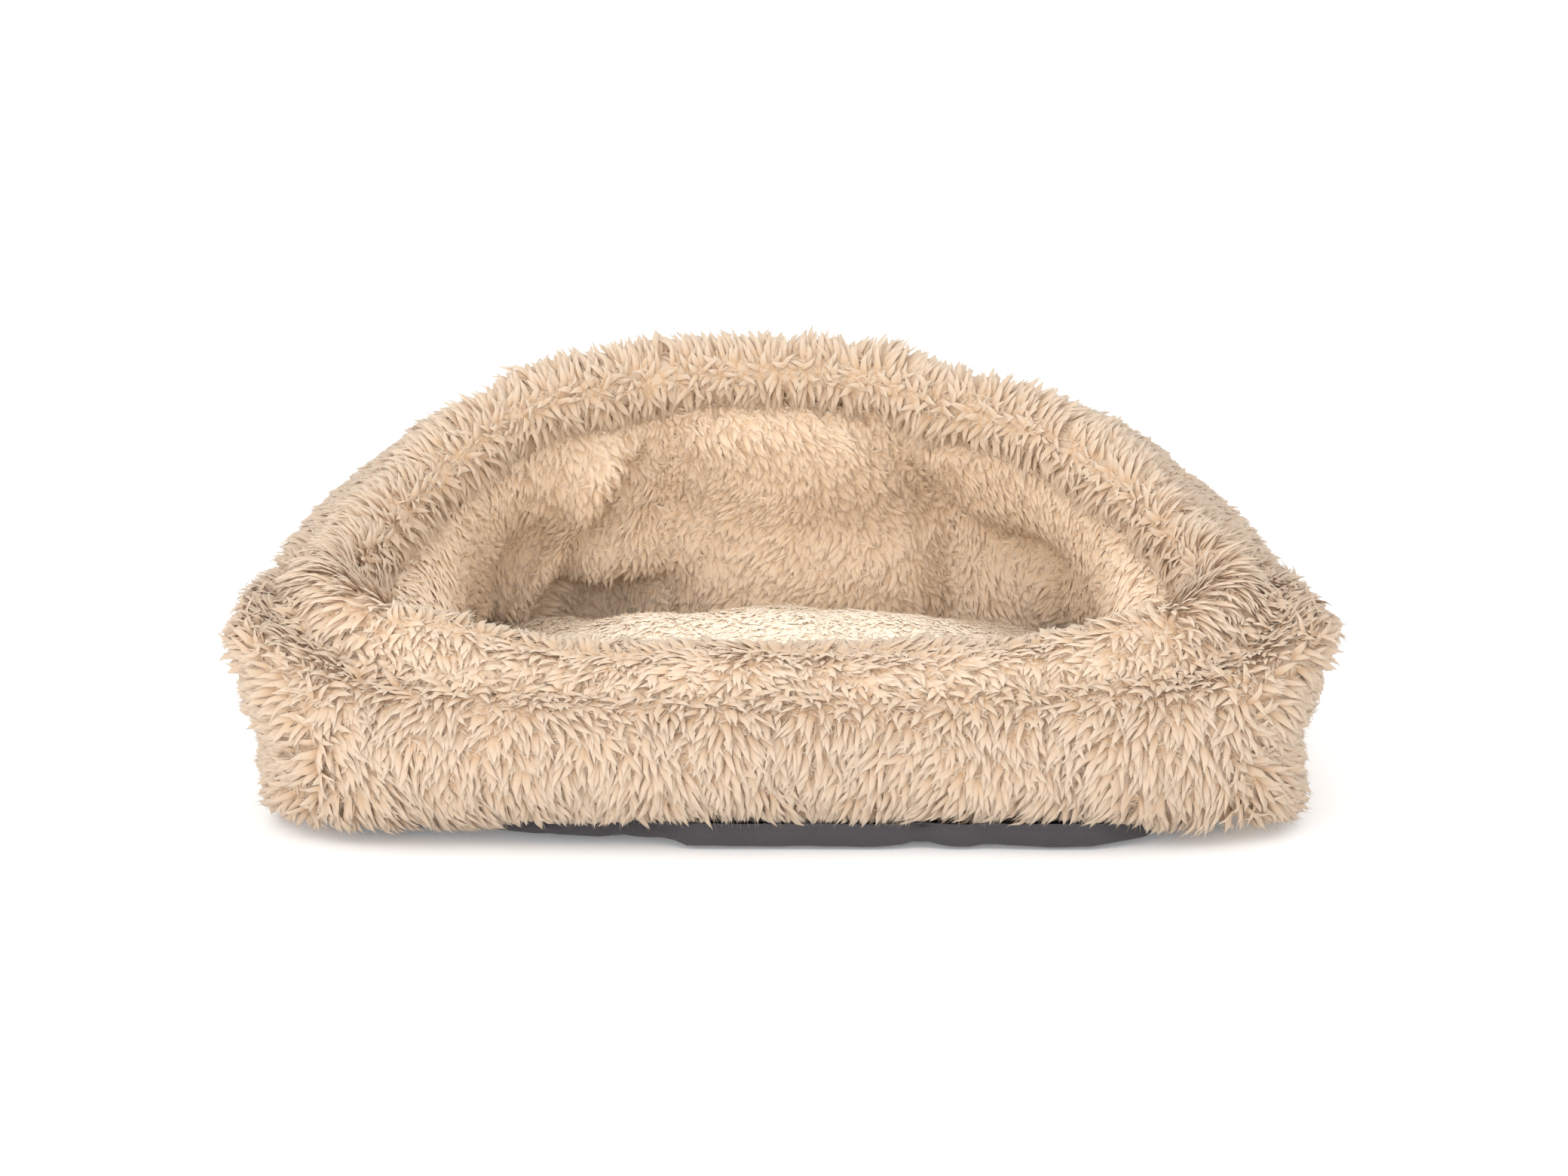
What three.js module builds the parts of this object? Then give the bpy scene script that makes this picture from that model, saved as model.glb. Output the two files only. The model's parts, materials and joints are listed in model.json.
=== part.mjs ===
// A plush pet bed: a quilted base, a low front wall, and high side and back walls that lean in over it as
// a hood.
// Every wall is a stuffed tube between an outer and an inner cloth. One stuffed roll runs round the whole
// opening.
// Millimetres. X runs across the bed, +Y points to its back and +Z up. The origin is on the floor, under
// its middle.
import * as THREE from "three";

// Footprint, measured along the hem where the walls meet the base cloth.
const HEM_HALF_WIDTH = 263;
const HEM_HALF_DEPTH = 224;
const HEM_CORNER_RADIUS = 50;
const HEM_HEIGHT = 9;
const BASE_FLAT_SHARE = 0.92; // how far out the base cloth lies flat before it turns up

// Cloths and the room left between any two pieces.
const PLUSH_THICKNESS = 5;
const BASE_CLOTH_THICKNESS = 2;
const SEAM_GAP = 0.4;
const SEAM_BEVEL = 2.5; // how much shorter a cloth is on its inner face, where it is turned in at a seam
const SPAN_INSET = 0.02; // the same two, for a seam that runs along a wall, as a share of a span
const SPAN_BEVEL = 0.12;
const FILLING_CLEARANCE = 1.8; // to the cloths round it
const FILLING_DEPTH = PLUSH_THICKNESS + FILLING_CLEARANCE;
const FILLING_TOP = 4.5; // the span that the filling reaches, short of the groove
const FILLING_TAPER = 6; // how much further inside the cloths it is there
const FILLING_GAP = 7; // between the fillings of two walls

// Walls.
const WALL_BULGE = 28; // how far a wall swells out past the hem
const WALL_THICKNESS = 62; // from the hem to the foot of the lining
const LINING_BULGE = 13; // how far the lining swells over the seat
const LINING_CORNER_RADIUS = 62;
const LINING_FOOT_HEIGHT = 49;
const FRONT_SHOULDER_HEIGHT = 68;
const SIDE_SHOULDER_HEIGHT = 118;
const SHOULDER_RISE = [0.055, 0.165]; // the stations over which the front's shoulder climbs to the sides'

// The roll round the opening, by the line down its middle. Over the front wall it is flattened.
const ROLL_RADIUS = 19;
const ROLL_FRONT_REACH = 32; // half its width over the front wall
const ROLL_FRONT_RISE = 13; // half its height there
const ROLL_ROUNDS = [0.03, 0.1]; // the stations over which it turns round
const ROLL_FILLING_CLEARANCE = 2;
const ROLL_HEM_INSET = 4; // from the hem to the outside of the roll, on the sides
const ROLL_FRONT_INSET = 19; // from the hem to the middle of the roll
const ROLL_BACK_INSET = 128; // the hood leans in over the seat
const ROLL_HALF_WIDTH = HEM_HALF_WIDTH - ROLL_HEM_INSET - ROLL_RADIUS;
const ROLL_FRONT_Y = ROLL_FRONT_INSET - HEM_HALF_DEPTH;
const ROLL_BACK_Y = HEM_HALF_DEPTH - ROLL_BACK_INSET;
const ROLL_CORNER_RADIUS = 62;
const ROLL_FRONT_HEIGHT = 86; // at the middle of the front wall
const ROLL_CORNER_UNDERSIDE = 99; // how high the roll's underside is over the front corners
const ROLL_HOOD_UNDERSIDE = 194; // and at the top of the hood
const ROLL_CORNER_HEIGHT = ROLL_CORNER_UNDERSIDE + ROLL_RADIUS;
const ROLL_BACK_HEIGHT = ROLL_HOOD_UNDERSIDE + ROLL_RADIUS;
const ROLL_LEAN = 12; // how far the soft hood leans to the left at its top
const FRONT_DIP = 4; // how sharply the front climbs at its corners
const ROLL_ARCH_ANGLE = (74 * Math.PI) / 180; // where the arch has reached its full height

// The roll's cover is open underneath, where it is sewn to the walls. Angles from straight under the roll.
const SLIT_INSIDE = (25 * Math.PI) / 180;
const SLIT_OUTSIDE_FRONT = (75 * Math.PI) / 180;
const SLIT_OUTSIDE_HOOD = (25 * Math.PI) / 180;
const SLIT_TO_GROOVE = (12 * Math.PI) / 180; // from the slit's outer edge up to where the wall's cloth ends

// Hood.
const ROOF_LIFT_BACK = 27; // how far the roof domes over a straight line to the roll
const ROOF_LIFT_SIDE = 5;

// Seat.
const SEAT_EDGE_HEIGHT = 38;
const SEAT_CROWN = 42;
const SEAT_COLUMNS = 3; // pillows across, parted by the tufts
const SEAT_ROWS = 2;
const SEAT_DIMPLE = 16;
const SEAT_DIMPLE_RADIUS = 34;
const SEAT_CLEARANCE = 2;

// Thread tacks that pin the seat down at its tufts.
const TACK_LENGTH = 9;
const TACK_WIDTH = 3;
const TACK_LIFT = 4; // over the bottom of the dimple, clear of the cloth

// How finely the shapes are cut: stations round the bed, steps along each span of a wall's section, and so
// on.
const STATIONS = 48;
const STEPS = 2;
const ROLL_CLOTH_SIDES = 9;
const ROLL_FILLING_SIDES = 8;
const SEAT_RING_STEP = 22; // mm between the rings that shape the seat
const SEAT_SPOKES = 40;

// Stations run from 0 at the middle of the front, over the right side, 0.5 at the middle of the back, and
// round to 1.
const CORNER_SHARE = 0.09;
const CORNER_START = 0.125 - CORNER_SHARE / 2;
const CORNER_END = 0.125 + CORNER_SHARE / 2;
const SEAMS = { frontRight: 5 / 48, backRight: 18 / 48, backLeft: 30 / 48, frontLeft: 43 / 48 };
const LINING_SEAMS = { right: 21 / 48, left: 26 / 48 };
const LINING_TUCK = 0.8; // share of the lining's swell that is lost where two of its cloths meet
const LINING_TUCK_REACH = 0.022;

// A wall's section runs over these control points, outside first: up from the hem, over its nose and down
// the lining.
const SPAN = { hem: 0, shoulder: 3, groove: 5, nose: 6, crease: 7, foot: 11, end: 12 };

// Where they stand. Out is a share of the wall's or lining's swell, and up a share of the height on that
// side.
const LOW_BELLY = { out: 0.66, up: 0.3 };
const BELLY = { out: 1, up: 0.66 };
const SHOULDER_OUT = 0.64;
const ROOF_AT = 0.64; // share of the way from the shoulder to the groove
const LOW_ROOF_AT = 0.775; // share of the way from the shoulder to the roof's own point
const LOW_ROOF_PUFF = 0.027; // as a share of the length of the roof
const LOW_LINING = { out: 0.7, up: 0.2 };
const MID_LINING = { out: 1, up: 0.42 };
const HIGH_LINING = { at: 0.52, out: 0.35 }; // at is a share of the way from mid-lining to the crease
const MIDDLE_HEIGHT = 0.45; // height of the middle of a wall, as a share of its roll's
const GROOVE_OUT = 1.08; // the groove and the crease stand beside the roll, as shares of its half size
const CREASE_DOWN = 0.97;
const NOSE_GAP = 1.4;
const ROOF_FULL_LENGTH = 40; // a roof this long or longer has its full lift
const BACKNESS = [0.4, 0.5]; // the stations over which the roof changes from a side's to the back's

const FUR = { color: 0xe6cfb2, roughness: 0.95 };
const LINING_FUR = { color: 0xdfc5a4, roughness: 0.95 };
const GREY_CLOTH = { color: 0x47444a, roughness: 0.8 };
const FILLING = { color: 0xf2efe8, roughness: 1 };
const THREAD = { color: 0xcbb08c, roughness: 0.8 };

const vec = (x, y, z) => new THREE.Vector3(x, y, z);
const mix = THREE.MathUtils.lerp;
const smooth = THREE.MathUtils.smoothstep;
const between = (a, b, t) => a.clone().lerp(b, t);

// ---------------------------------------------------------------- loops round the bed

// A rounded rectangle. Each side and each corner keeps the same stations whatever the size, so loops line
// up.
function roundedLoop(halfX, halfY, radius, station) {
  const s = ((station % 1) + 1) % 1;
  const quarter = Math.floor(s * 4 + 0.5) % 4; // 0 front, 1 right, 2 back, 3 left
  const along = (((s * 4 + 0.5) % 1) - 0.5) / 4; // from the middle of that side, in stations
  const [reach, away] = quarter % 2 ? [halfY, halfX] : [halfX, halfY];
  const sign = Math.sign(along);
  let [u, v] = [(along / CORNER_START) * (reach - radius), away];
  if (Math.abs(along) > CORNER_START) {
    const turn = ((Math.abs(along) - CORNER_START) / CORNER_SHARE) * (Math.PI / 2);
    u = sign * (reach - radius + radius * Math.sin(turn));
    v = away - radius + radius * Math.cos(turn);
  }
  return [[u, -v], [v, u], [-u, v], [-v, -u]][quarter];
}

function onHem(station, grow, z) {
  const [halfX, halfY] = [HEM_HALF_WIDTH + grow, HEM_HALF_DEPTH + grow];
  return vec(...roundedLoop(halfX, halfY, HEM_CORNER_RADIUS + grow, station), z);
}

function onLining(station, grow, z) {
  const [halfX, halfY] = [HEM_HALF_WIDTH - WALL_THICKNESS + grow, HEM_HALF_DEPTH - WALL_THICKNESS + grow];
  return vec(...roundedLoop(halfX, halfY, LINING_CORNER_RADIUS + grow, station), z);
}

// The line down the middle of the roll: straight over the front wall, round its corners, then up and over
// the hood.
function rollCentre(station) {
  const s = ((station % 1) + 1) % 1;
  const side = s > 0.5 ? -1 : 1;
  const from = Math.min(s, 1 - s);
  const straight = ROLL_HALF_WIDTH - ROLL_CORNER_RADIUS;
  const archStartY = ROLL_FRONT_Y + ROLL_CORNER_RADIUS;
  let [x, y, rise] = [straight * (from / CORNER_START), ROLL_FRONT_Y, 0];
  if (from > CORNER_START && from <= CORNER_END) {
    const turn = ((from - CORNER_START) / CORNER_SHARE) * (Math.PI / 2);
    x = straight + ROLL_CORNER_RADIUS * Math.sin(turn);
    y = archStartY - ROLL_CORNER_RADIUS * Math.cos(turn);
  }
  if (from > CORNER_END) {
    const turn = ((from - CORNER_END) / (0.5 - CORNER_END)) * (Math.PI / 2);
    x = ROLL_HALF_WIDTH * Math.cos(turn);
    y = archStartY + (ROLL_BACK_Y - archStartY) * Math.sin(turn);
    rise = smooth(turn, 0, ROLL_ARCH_ANGLE);
  }
  const dip = from > CORNER_END ? 1 : (x / ROLL_HALF_WIDTH) ** FRONT_DIP;
  const low = mix(ROLL_FRONT_HEIGHT, ROLL_CORNER_HEIGHT, dip);
  return vec(side * x - ROLL_LEAN * rise, y, mix(low, ROLL_BACK_HEIGHT, rise));
}

const fromFront = (station) => Math.min(Math.abs(station), 1 - station);

function shoulderHeight(station) {
  return mix(FRONT_SHOULDER_HEIGHT, SIDE_SHOULDER_HEIGHT, smooth(fromFront(station), ...SHOULDER_RISE));
}

// Half the roll's size across the wall, half its size square to that, and how far its cover is open
// outside.
function rollSize(station) {
  const share = smooth(fromFront(station), ...ROLL_ROUNDS);
  return {
    reach: mix(ROLL_FRONT_REACH, ROLL_RADIUS, share),
    rise: mix(ROLL_FRONT_RISE, ROLL_RADIUS, share),
    slit: mix(SLIT_OUTSIDE_FRONT, SLIT_OUTSIDE_HOOD, share),
  };
}

// The lining's swell dips in where two of its cloths are sewn together.
function liningSwell(station) {
  const s = ((station % 1) + 1) % 1;
  const tuck = Object.values(LINING_SEAMS)
    .map((seam) => Math.exp(-(((s - seam) / LINING_TUCK_REACH) ** 2)))
    .reduce((a, b) => a + b, 0);
  return LINING_BULGE * (1 - LINING_TUCK * tuck);
}

// ---------------------------------------------------------------- a wall's section

// How far to either side a direction is measured.
const NEAR = 2e-3;
const NEAR_SPAN = 0.05;

const sections = new Map();

function sectionCurve(station) {
  const key = station.toFixed(6);
  if (sections.has(key)) return sections.get(key);
  const roll = rollCentre(station);
  const tangent = rollCentre(station + NEAR).sub(rollCentre(station - NEAR)).normalize();
  const shoulderZ = shoulderHeight(station);
  const swell = liningSwell(station);
  const hem = onHem(station, 0, HEM_HEIGHT);
  const onWall = ({ out, up }) => onHem(station, WALL_BULGE * out, mix(HEM_HEIGHT, shoulderZ, up));
  const shoulder = onWall({ out: SHOULDER_OUT, up: 1 });

  // The nose lies against the roll. It points from the middle of the wall to the middle of the roll.
  const middle = between(shoulder, onLining(station, 0, 0), 0.5).setZ(roll.z * MIDDLE_HEIGHT);
  const down = middle.sub(roll);
  down.addScaledVector(tangent, -down.dot(tangent)).normalize();
  const out = down.clone().cross(tangent).normalize();
  const { reach, rise, slit } = rollSize(station);
  const drop = Math.cos(slit + SLIT_TO_GROOVE);
  const groove = roll.clone().addScaledVector(down, rise * drop).addScaledVector(out, reach * GROOVE_OUT);
  const nose = roll.clone().addScaledVector(down, rise + NOSE_GAP);
  const crease = roll.clone().addScaledVector(down, rise * CREASE_DOWN).addScaledVector(out, -reach);

  const backness = smooth(fromFront(station), ...BACKNESS);
  const slope = groove.clone().sub(shoulder);
  const lift = tangent.clone().cross(slope).normalize();
  if (lift.z < 0) lift.negate();
  const fullLift = mix(ROOF_LIFT_SIDE, ROOF_LIFT_BACK, backness);
  const roof = between(shoulder, groove, ROOF_AT);
  roof.addScaledVector(lift, fullLift * smooth(slope.length(), 0, ROOF_FULL_LENGTH));
  const lowRoof = between(shoulder, roof, LOW_ROOF_AT).addScaledVector(lift, slope.length() * LOW_ROOF_PUFF);

  const foot = onLining(station, 0, LINING_FOOT_HEIGHT);
  const onCloth = ({ out, up }) => onLining(station, -swell * out, mix(LINING_FOOT_HEIGHT, crease.z, up));
  const midLining = onCloth(MID_LINING);
  const puff = midLining.clone().sub(foot).setZ(0).multiplyScalar(HIGH_LINING.out);
  const highLining = between(midLining, crease, HIGH_LINING.at).add(puff);
  const end = onLining(station, SEAT_CLEARANCE, HEM_HEIGHT);

  const points = [hem, onWall(LOW_BELLY), onWall(BELLY), shoulder, lowRoof, groove, nose];
  points.push(crease, highLining, midLining, onCloth(LOW_LINING), foot, end);
  const curve = new THREE.CatmullRomCurve3(points, false, "centripetal");
  sections.set(key, curve);
  return curve;
}

function onSkin(station, span) {
  return sectionCurve(station).getPoint(THREE.MathUtils.clamp(span / SPAN.end, 0, 1));
}

// A point of the wall's surface, moved depth millimetres into the wall.
function inWall(station, span, depth) {
  const p = onSkin(station, span);
  if (!depth) return p;
  const alongBed = onSkin(station + NEAR, span).sub(onSkin(station - NEAR, span));
  const alongSection = onSkin(station, span + NEAR_SPAN).sub(onSkin(station, span - NEAR_SPAN));
  return p.addScaledVector(alongSection.cross(alongBed).normalize(), depth);
}

// ---------------------------------------------------------------- solids from grids of points

function closedGeometry(points, triangles) {
  const geometry = new THREE.BufferGeometry();
  const positions = points.flatMap((p) => [p.x, p.y, p.z]);
  geometry.setAttribute("position", new THREE.Float32BufferAttribute(positions, 3));
  geometry.setIndex(triangles);
  geometry.computeVertexNormals();
  return geometry;
}

// Turns a closed mesh the right way out.
function faceOutwards(points, triangles) {
  let volume = 0;
  for (let i = 0; i < triangles.length; i += 3) {
    const [a, b, c] = [points[triangles[i]], points[triangles[i + 1]], points[triangles[i + 2]]];
    volume += a.dot(b.clone().cross(c));
  }
  if (volume < 0) {
    for (let i = 0; i < triangles.length; i += 3) {
      [triangles[i + 1], triangles[i + 2]] = [triangles[i + 2], triangles[i + 1]];
    }
  }
  return closedGeometry(points, triangles);
}

// A sheet with two faces: top(i, j) and bottom(i, j) for i in 0..rows and j in 0..columns.
// Where the bottom's columns run the other way round a section, its quads are split across the other
// corners.
function thickSheet(rows, columns, top, bottom, bottomRunsBack = false) {
  const points = [];
  for (const face of [top, bottom]) {
    for (let i = 0; i <= rows; i++) for (let j = 0; j <= columns; j++) points.push(face(i, j));
  }
  const layer = (rows + 1) * (columns + 1);
  const at = (f, i, j) => f * layer + i * (columns + 1) + j;
  const triangles = [];
  const quad = (a, b, c, d) => triangles.push(a, b, c, a, c, d);
  for (let i = 0; i < rows; i++) {
    for (let j = 0; j < columns; j++) {
      quad(at(0, i, j), at(0, i + 1, j), at(0, i + 1, j + 1), at(0, i, j + 1));
      const under = [at(1, i, j), at(1, i, j + 1), at(1, i + 1, j + 1), at(1, i + 1, j)];
      if (bottomRunsBack) under.push(under.shift());
      quad(...under);
    }
    quad(at(0, i, 0), at(1, i, 0), at(1, i + 1, 0), at(0, i + 1, 0));
    quad(at(0, i, columns), at(0, i + 1, columns), at(1, i + 1, columns), at(1, i, columns));
  }
  for (let j = 0; j < columns; j++) {
    quad(at(0, 0, j), at(0, 0, j + 1), at(1, 0, j + 1), at(1, 0, j));
    quad(at(0, rows, j), at(1, rows, j), at(1, rows, j + 1), at(0, rows, j + 1));
  }
  return faceOutwards(points, triangles);
}

// Every multiple of a step from one value to another, and both ends, each moved in by an inset.
function marks(from, to, step, inset) {
  const list = [from + inset];
  for (let k = Math.floor(from / step) + 1; k * step < to - step / 4; k++) {
    if (k * step > from + step / 4) list.push(k * step);
  }
  return [...list, to - inset];
}

// The stations of a stretch of wall, a gap in from each end.
function stretch(from, to, gap = SEAM_GAP) {
  const stationLength = 2 * (HEM_HALF_WIDTH + HEM_HALF_DEPTH - WALL_THICKNESS);
  return marks(from, to, 1 / STATIONS, gap / stationLength);
}

// A cloth on the wall's surface, between two stations and two spans of the section.
function wallCloth(from, to, lowSpan, highSpan) {
  const face = (bevel, spanBevel, depth) => {
    const stations = stretch(from, to, SEAM_GAP + bevel);
    const spans = marks(lowSpan, highSpan, 1 / STEPS, SPAN_INSET + spanBevel);
    return { stations, spans, at: (i, j) => inWall(stations[i], spans[j], depth) };
  };
  const outside = face(0, 0, 0);
  const inside = face(SEAM_BEVEL, SPAN_BEVEL, PLUSH_THICKNESS);
  return thickSheet(outside.stations.length - 1, outside.spans.length - 1, outside.at, inside.at);
}

// The filling of a wall, just inside its cloths, from the hem up to just under the roll.
function wallFilling(from, to) {
  const stations = stretch(from, to, FILLING_GAP);
  const side = (fromOutside) => (i, j) => {
    const span = fromOutside ? j / STEPS : SPAN.end - j / STEPS;
    const depth = FILLING_DEPTH + FILLING_TAPER * smooth(j / STEPS, SPAN.shoulder, FILLING_TOP);
    const p = inWall(stations[i], span, depth);
    if (j === 0 && !fromOutside) p.z = BASE_CLOTH_THICKNESS + SEAM_GAP;
    return p;
  };
  return thickSheet(stations.length - 1, FILLING_TOP * STEPS, side(true), side(false), true);
}

// ---------------------------------------------------------------- the roll

function rollFrame(station) {
  const centre = rollCentre(station);
  const tangent = rollCentre(station + NEAR).sub(rollCentre(station - NEAR)).normalize();
  const down = onSkin(station, SPAN.nose).sub(centre);
  down.addScaledVector(tangent, -down.dot(tangent)).normalize();
  return { centre, down, out: down.clone().cross(tangent).normalize() };
}

// A point round the roll, some depth inside its cloth.
function roundRoll(station, depth, angle) {
  const { centre, down, out } = rollFrame(station);
  const { reach, rise } = rollSize(station);
  centre.addScaledVector(down, Math.cos(angle) * (rise - depth));
  return centre.addScaledVector(out, Math.sin(angle) * (reach - depth));
}

// The cover wraps the filling from the groove over the top to the crease, and is open where it is sewn to
// the wall.
function rollCloth(from, to) {
  const stations = stretch(from, to);
  const angle = (i, j) => mix(rollSize(stations[i]).slit, 2 * Math.PI - SLIT_INSIDE, j / ROLL_CLOTH_SIDES);
  return thickSheet(
    stations.length - 1,
    ROLL_CLOTH_SIDES,
    (i, j) => roundRoll(stations[i], 0, angle(i, j)),
    (i, j) => roundRoll(stations[i], PLUSH_THICKNESS, angle(i, j)),
  );
}

// The filling is one long cord whose two ends meet at the middle of the front.
function rollFilling() {
  const depth = PLUSH_THICKNESS + ROLL_FILLING_CLEARANCE;
  const sides = ROLL_FILLING_SIDES;
  const stations = stretch(0, 1);
  const count = stations.length - 1;
  const points = [];
  for (const station of stations) {
    for (let j = 0; j < sides; j++) points.push(roundRoll(station, depth, (j / sides) * 2 * Math.PI));
  }
  points.push(rollCentre(stations[0]), rollCentre(stations[count]));
  const triangles = [];
  for (let j = 0; j < sides; j++) {
    const k = (j + 1) % sides;
    for (let i = 0; i < count; i++) {
      const [a, b] = [i * sides, (i + 1) * sides];
      triangles.push(a + j, b + j, b + k, a + j, b + k, a + k);
    }
    triangles.push(points.length - 2, j, k);
    triangles.push(points.length - 1, count * sides + k, count * sides + j);
  }
  return faceOutwards(points, triangles);
}

// ---------------------------------------------------------------- the base

const SEAT_HALF_WIDTH = HEM_HALF_WIDTH - WALL_THICKNESS - PLUSH_THICKNESS - SEAT_CLEARANCE;
const SEAT_HALF_DEPTH = HEM_HALF_DEPTH - WALL_THICKNESS - PLUSH_THICKNESS - SEAT_CLEARANCE;

const tufts = [];
for (let row = 0; row < SEAT_ROWS; row++) {
  for (let column = 1; column < SEAT_COLUMNS; column++) {
    const x = mix(-SEAT_HALF_WIDTH, SEAT_HALF_WIDTH, column / SEAT_COLUMNS);
    const y = mix(-SEAT_HALF_DEPTH, SEAT_HALF_DEPTH, (row + 0.5) / SEAT_ROWS);
    tufts.push({ x, y });
  }
}

// How high the top of the seat stands: crowned in the middle, pulled in at each tuft.
function seatHeight(x, y) {
  const crown = (1 - (x / SEAT_HALF_WIDTH) ** 2) * (1 - (y / SEAT_HALF_DEPTH) ** 2);
  const pull = tufts.map((t) => Math.exp(-((x - t.x) ** 2 + (y - t.y) ** 2) / SEAT_DIMPLE_RADIUS ** 2));
  const dimple = pull.reduce((a, b) => a + b, 0);
  return SEAT_EDGE_HEIGHT + SEAT_CROWN * Math.max(crown, 0) ** 0.75 - SEAT_DIMPLE * dimple;
}

// A rounded plate between two height functions, made of rings round its middle. A ring is a share of the
// way out.
function roundedPlate([halfX, halfY, radius], shares, count, topAt, bottomAt) {
  const rings = shares.length;
  const points = [];
  for (const height of [topAt, bottomAt]) {
    points.push(vec(0, 0, height(0, 0, 0)));
    for (const share of shares) {
      for (let i = 0; i < count; i++) {
        const [x, y] = roundedLoop(halfX, halfY, radius, i / count).map((c) => c * share);
        points.push(vec(x, y, height(x, y, share)));
      }
    }
  }
  const layer = 1 + rings * count;
  const at = (f, r, i) => f * layer + (r ? 1 + (r - 1) * count + (i % count) : 0);
  const triangles = [];
  for (let i = 0; i < count; i++) {
    for (const f of [0, 1]) {
      const put = (a, b, c) => (f ? triangles.push(a, c, b) : triangles.push(a, b, c));
      put(at(f, 0, 0), at(f, 1, i), at(f, 1, i + 1));
      for (let r = 1; r < rings; r++) {
        put(at(f, r, i), at(f, r + 1, i), at(f, r + 1, i + 1));
        put(at(f, r, i), at(f, r + 1, i + 1), at(f, r, i + 1));
      }
    }
    triangles.push(at(0, rings, i), at(1, rings, i), at(1, rings, i + 1));
    triangles.push(at(0, rings, i), at(1, rings, i + 1), at(0, rings, i + 1));
  }
  return faceOutwards(points, triangles);
}

const seatOutline = [SEAT_HALF_WIDTH, SEAT_HALF_DEPTH, LINING_CORNER_RADIUS];
const ringCount = Math.ceil(SEAT_HALF_WIDTH / SEAT_RING_STEP);
const seatRings = Array.from({ length: ringCount }, (_, i) => (i + 1) / ringCount);

function seatPlate(topDepth, bottomAt) {
  return roundedPlate(seatOutline, seatRings, SEAT_SPOKES, (x, y) => seatHeight(x, y) - topDepth, bottomAt);
}

const seatCloth = () => seatPlate(0, (x, y) => seatHeight(x, y) - PLUSH_THICKNESS);

const seatFilling = () => seatPlate(PLUSH_THICKNESS + SEAM_GAP, () => BASE_CLOTH_THICKNESS + SEAM_GAP);

// The base cloth lies flat on the floor and turns up round its edge to meet the hem.
function baseCloth() {
  const rise = HEM_HEIGHT - BASE_CLOTH_THICKNESS - SEAM_GAP;
  const turned = (share) => rise * smooth(share, BASE_FLAT_SHARE, 1) ** 1.5;
  const rings = [0.5, BASE_FLAT_SHARE, mix(BASE_FLAT_SHARE, 1, 0.5), mix(BASE_FLAT_SHARE, 1, 0.8), 1];
  return roundedPlate(
    [HEM_HALF_WIDTH, HEM_HALF_DEPTH, HEM_CORNER_RADIUS],
    rings,
    STATIONS,
    (x, y, share) => turned(share) + BASE_CLOTH_THICKNESS,
    (x, y, share) => turned(share),
  );
}

// ---------------------------------------------------------------- small pieces

// A thread tack lies across the bottom of each dimple in the seat.
function tack() {
  const shape = new THREE.Shape();
  const half = TACK_LENGTH / 2 - TACK_WIDTH / 2;
  shape.absarc(half, 0, TACK_WIDTH / 2, -Math.PI / 2, Math.PI / 2);
  shape.absarc(-half, 0, TACK_WIDTH / 2, Math.PI / 2, (3 * Math.PI) / 2);
  return new THREE.ExtrudeGeometry(shape, { depth: TACK_WIDTH / 2, bevelEnabled: false, curveSegments: 4 });
}

// ---------------------------------------------------------------- assembly

const bed = new THREE.Group();

function add(name, geometry, look, place = vec(0, 0, 0)) {
  const mesh = new THREE.Mesh(geometry, new THREE.MeshStandardMaterial({ metalness: 0, ...look }));
  mesh.name = name;
  mesh.position.copy(place);
  bed.add(mesh);
  return mesh;
}

const { frontRight, backRight, backLeft, frontLeft } = SEAMS;
const front = [frontLeft - 1, frontRight];
const sides = { right: [frontRight, backRight], back: [backRight, backLeft], left: [backLeft, frontLeft] };
const linings = {
  right: [frontRight, LINING_SEAMS.right],
  back: [LINING_SEAMS.right, LINING_SEAMS.left],
  left: [LINING_SEAMS.left, frontLeft],
};

add("base_cloth", baseCloth(), GREY_CLOTH);
add("seat_filling", seatFilling(), FILLING);
add("seat_cloth", seatCloth(), FUR);
tufts.forEach(({ x, y }, i) => {
  add(`seat_tack_${i + 1}`, tack(), THREAD, vec(x, y, seatHeight(x, y) + TACK_LIFT));
});

add("front_outer_cloth", wallCloth(...front, SPAN.hem, SPAN.groove), FUR);
add("front_inner_cloth", wallCloth(...front, SPAN.crease, SPAN.foot), LINING_FUR);
add("front_filling", wallFilling(...front), FILLING);
for (const [name, range] of Object.entries(sides)) {
  add(`${name}_outer_cloth`, wallCloth(...range, SPAN.hem, SPAN.shoulder), FUR);
  add(`${name}_hood_cloth`, wallCloth(...range, SPAN.shoulder, SPAN.groove), FUR);
  add(`${name}_filling`, wallFilling(...range), FILLING);
}
for (const [name, range] of Object.entries(linings)) {
  add(`${name}_lining_cloth`, wallCloth(...range, SPAN.crease, SPAN.foot), LINING_FUR);
}

add("roll_filling", rollFilling(), FILLING);
add("roll_front_cloth", rollCloth(...front), FUR);
add("roll_hood_cloth", rollCloth(frontRight, frontLeft), FUR);

export default bed;
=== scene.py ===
import json
import math

import bpy
import numpy as np
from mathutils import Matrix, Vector
from mathutils.bvhtree import BVHTree
from mathutils.kdtree import KDTree

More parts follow.
